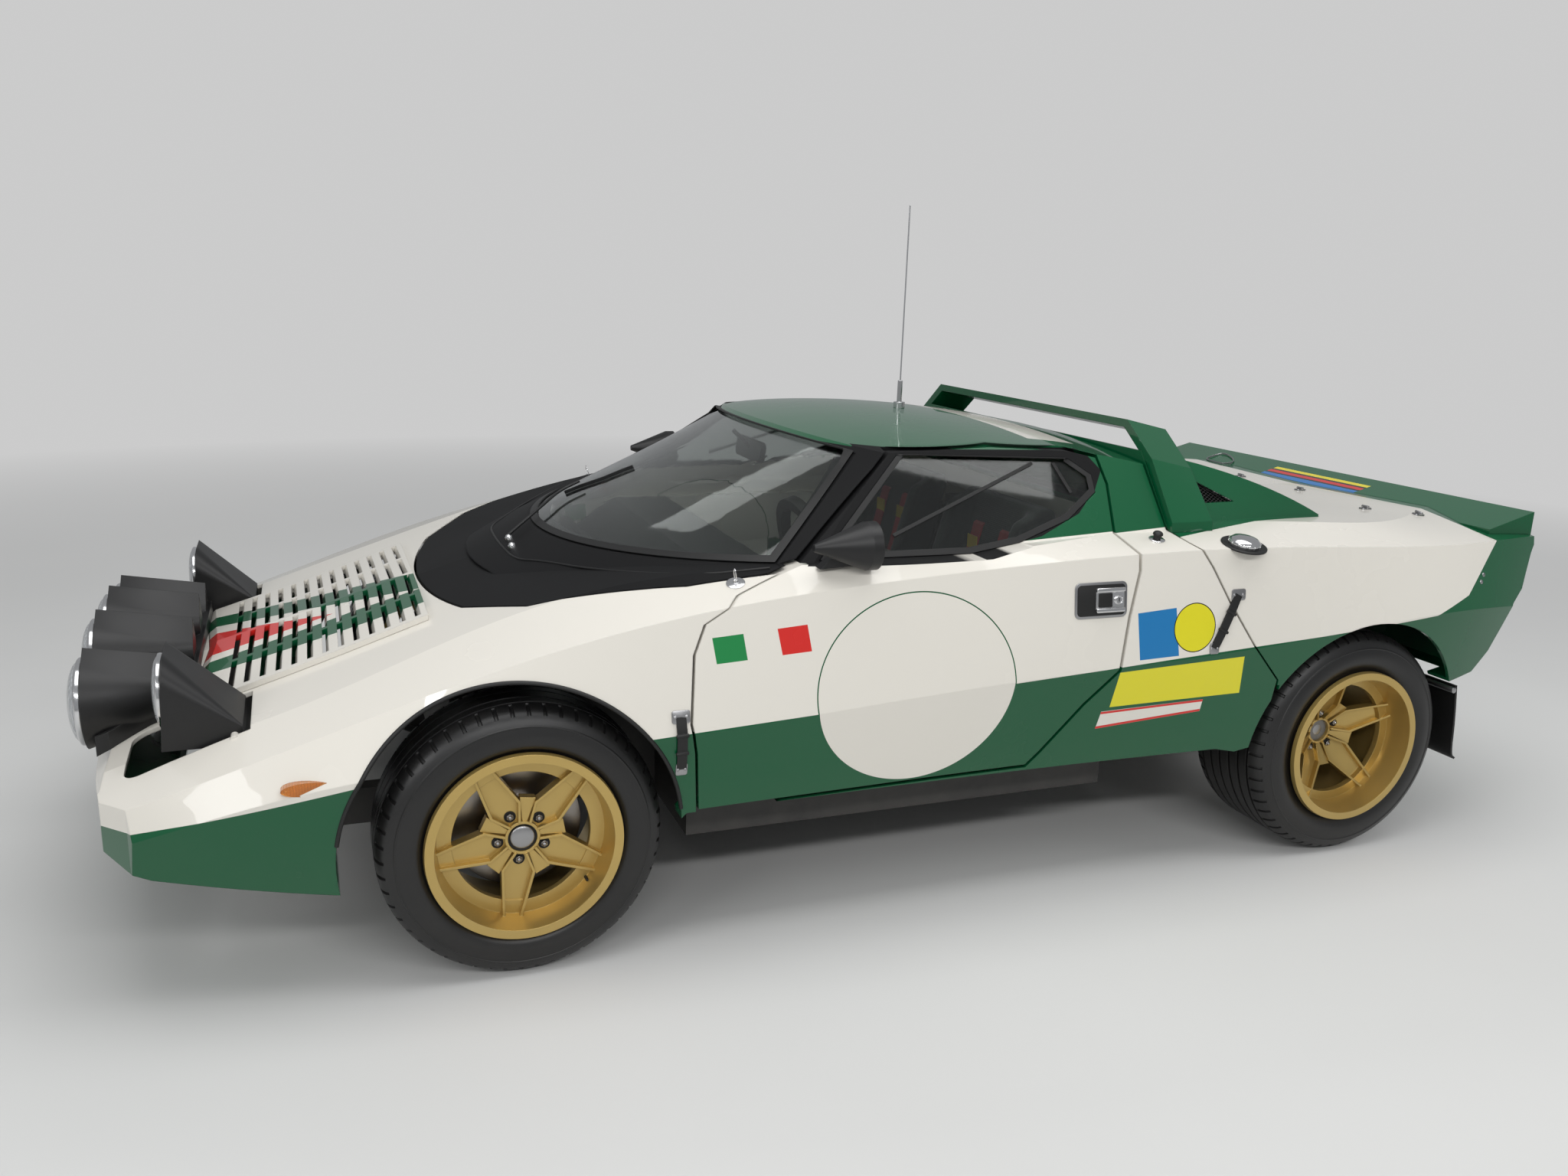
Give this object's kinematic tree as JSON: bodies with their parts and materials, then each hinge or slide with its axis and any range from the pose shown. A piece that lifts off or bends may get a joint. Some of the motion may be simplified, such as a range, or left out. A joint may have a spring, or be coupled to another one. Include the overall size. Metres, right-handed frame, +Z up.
{
  "type": "rally car",
  "caption": "Low wedge-shaped mid-engined two-door rally coupe with lifting nose and tail, fold-down headlamps, steered front wheels and opening doors.",
  "frame": {"origin": "on the ground under the centre of the car's overall box", "axes": "+X towards the tail, +Y towards the car's right side, +Z up"},
  "size_m": [3.79, 1.7798, 1.668],
  "materials": {
    "body_paint": "gloss white with green lower panels",
    "black_panel": "satin black",
    "glass": "clear, lightly tinted",
    "lamp_glass": "fluted lamp glass",
    "amber_lens": "amber",
    "red_lens": "red",
    "black_steel": "matt black",
    "engine_metal": "cast, dull",
    "exhaust_steel": "heat-dulled",
    "cast_upright": "cast",
    "gold_alloy": "gold paint on cast alloy",
    "tyre_rubber": "black",
    "disc_steel": "turned",
    "seat_cloth": "black cloth",
    "dash_black": "matt black",
    "wheel_leather": "black leather rim",
    "aerial_chrome": "bright"
  },
  "bodies": {
    "chassis": {"cabin_shell": "body_paint", "floor_tub": "black_steel", "windscreen": "glass", "rear_window": "glass", "dashboard": "dash_black", "steering_column": "dash_black", "seat_left": "seat_cloth", "seat_right": "seat_cloth", "front_frame": "black_steel", "rear_frame": "black_steel", "front_lower_arms": "black_steel", "front_upper_arms": "black_steel", "rear_arms": "black_steel", "front_dampers": "black_steel", "rear_dampers": "black_steel", "engine_block": "engine_metal", "drive_shafts": "black_steel", "radiator": "black_steel", "exhaust": "exhaust_steel", "rear_carriers": "cast_upright", "roof_aerial": "aerial_chrome"},
    "front_clam": {"front_clam": "body_paint", "hood_louvre": "body_paint", "front_liners": "black_panel", "lamp_pod": "black_panel", "driving_lamps": "lamp_glass", "front_indicators": "amber_lens"},
    "headlamp_left": {"headlamp_left": "black_panel", "headlamp_lens_left": "lamp_glass"},
    "headlamp_right": {"headlamp_right": "black_panel", "headlamp_lens_right": "lamp_glass"},
    "rear_clam": {"rear_clam": "body_paint", "rear_louvre": "black_panel", "roof_hoop": "body_paint", "tail_spoiler": "body_paint", "tail_lamps": "red_lens"},
    "door_left": {"door_left": "body_paint", "door_glass_left": "glass", "door_mirror_left": "black_panel"},
    "door_right": {"door_right": "body_paint", "door_glass_right": "glass", "door_mirror_right": "black_panel"},
    "knuckle_left": {"knuckle_left": "cast_upright"},
    "knuckle_right": {"knuckle_right": "cast_upright"},
    "steering_wheel": {"steering_wheel": "wheel_leather"},
    "wheel_front_left": {"rim_front_left": "gold_alloy", "tyre_front_left": "tyre_rubber", "disc_front_left": "disc_steel"},
    "wheel_front_right": {"rim_front_right": "gold_alloy", "tyre_front_right": "tyre_rubber", "disc_front_right": "disc_steel"},
    "wheel_rear_left": {"rim_rear_left": "gold_alloy", "tyre_rear_left": "tyre_rubber", "disc_rear_left": "disc_steel"},
    "wheel_rear_right": {"rim_rear_right": "gold_alloy", "tyre_rear_right": "tyre_rubber", "disc_rear_right": "disc_steel"}
  },
  "joints": [
    {"name": "steer_left", "type": "hinge", "parent": "chassis", "child": "knuckle_left", "pos_m": [-1.0095, -0.64, 0.299], "axis": [0, 0, 1], "range_deg": [-28, 28]},
    {"name": "steer_right", "type": "hinge", "parent": "chassis", "child": "knuckle_right", "pos_m": [-1.0095, 0.64, 0.299], "axis": [0, 0, 1], "range_deg": [-28, 28]},
    {"name": "steering_wheel_turn", "type": "hinge", "parent": "chassis", "child": "steering_wheel", "pos_m": [-0.1695, -0.3, 0.74], "axis": [0.9397, 0, 0.342], "range_deg": [-420, 420]},
    {"name": "wheel_spin_front_left", "type": "hinge", "parent": "knuckle_left", "child": "wheel_front_left", "pos_m": [-1.0095, -0.725, 0.299], "axis": [0, 1, 0], "continuous": true},
    {"name": "wheel_spin_front_right", "type": "hinge", "parent": "knuckle_right", "child": "wheel_front_right", "pos_m": [-1.0095, 0.725, 0.299], "axis": [0, 1, 0], "continuous": true},
    {"name": "wheel_spin_rear_left", "type": "hinge", "parent": "chassis", "child": "wheel_rear_left", "pos_m": [1.1705, -0.727, 0.305], "axis": [0, 1, 0], "continuous": true},
    {"name": "wheel_spin_rear_right", "type": "hinge", "parent": "chassis", "child": "wheel_rear_right", "pos_m": [1.1705, 0.727, 0.305], "axis": [0, 1, 0], "continuous": true},
    {"name": "door_left_hinge", "type": "hinge", "parent": "chassis", "child": "door_left", "pos_m": [-0.6665, -0.87, 0.6], "axis": [0, 0, -1], "range_deg": [0, 62]},
    {"name": "door_right_hinge", "type": "hinge", "parent": "chassis", "child": "door_right", "pos_m": [-0.6665, 0.87, 0.6], "axis": [0, 0, 1], "range_deg": [0, 62]},
    {"name": "front_clam_hinge", "type": "hinge", "parent": "chassis", "child": "front_clam", "pos_m": [-1.7295, 0, 0.33], "axis": [0, -1, 0], "range_deg": [0, 60]},
    {"name": "rear_clam_hinge", "type": "hinge", "parent": "chassis", "child": "rear_clam", "pos_m": [1.6105, 0, 0.56], "axis": [0, 1, 0], "range_deg": [0, 50]},
    {"name": "headlamp_left_fold", "type": "hinge", "parent": "front_clam", "child": "headlamp_left", "pos_m": [-1.5575, -0.522, 0.524], "axis": [0, -1, 0], "range_deg": [0, 72]},
    {"name": "headlamp_right_fold", "type": "hinge", "parent": "front_clam", "child": "headlamp_right", "pos_m": [-1.5575, 0.522, 0.524], "axis": [0, -1, 0], "range_deg": [0, 72]}
  ],
  "couplings": [
    {"joint": "steer_right", "follows": "steer_left", "ratio": 1},
    {"joint": "steering_wheel_turn", "follows": "steer_left", "ratio": 15},
    {"joint": "headlamp_right_fold", "follows": "headlamp_left_fold", "ratio": 1}
  ]
}
